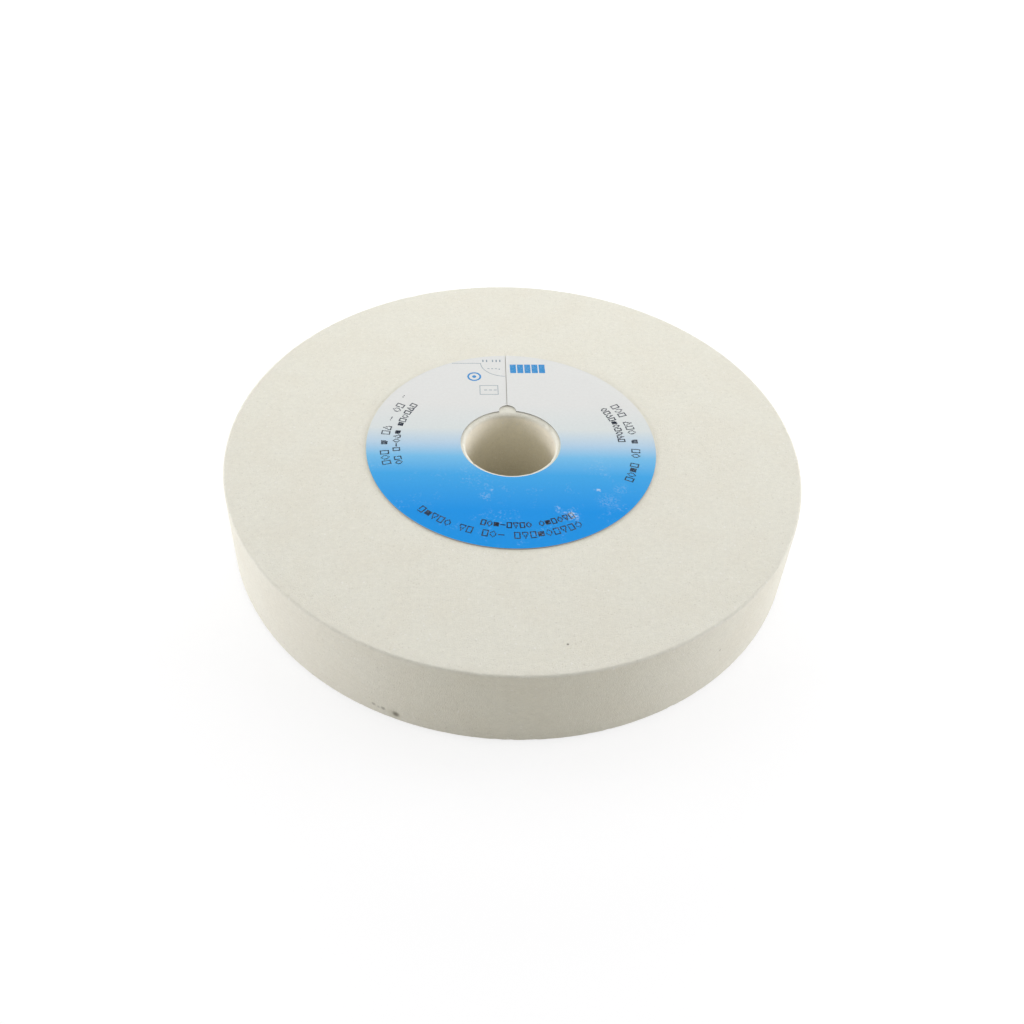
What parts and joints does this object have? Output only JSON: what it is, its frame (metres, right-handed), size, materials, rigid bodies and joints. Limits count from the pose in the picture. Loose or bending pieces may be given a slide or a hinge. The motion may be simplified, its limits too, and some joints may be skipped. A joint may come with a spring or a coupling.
{
  "type": "bench grinding wheel",
  "caption": "Straight vitrified grinding wheel of white aluminium oxide with a plain bore and paper blotters on its faces.",
  "frame": {"origin": "middle of the rear blotter's underside, on the wheel's axis, where the wheel lies on a surface", "axes": "+Z along the wheel's axis, out of the printed face; +Y towards the notch in the printed blotter"},
  "size_m": [0.2, 0.2, 0.0334],
  "materials": {
    "abrasive": "matt, open-grained vitrified white aluminium oxide",
    "printed_paper": "smooth printed blotter paper, pale grey fading to blue",
    "plain_paper": "uncoated blotter paper"
  },
  "bodies": {
    "root": {"abrasive_wheel": "abrasive", "front_blotter": "printed_paper", "rear_blotter": "plain_paper"}
  },
  "joints": []
}
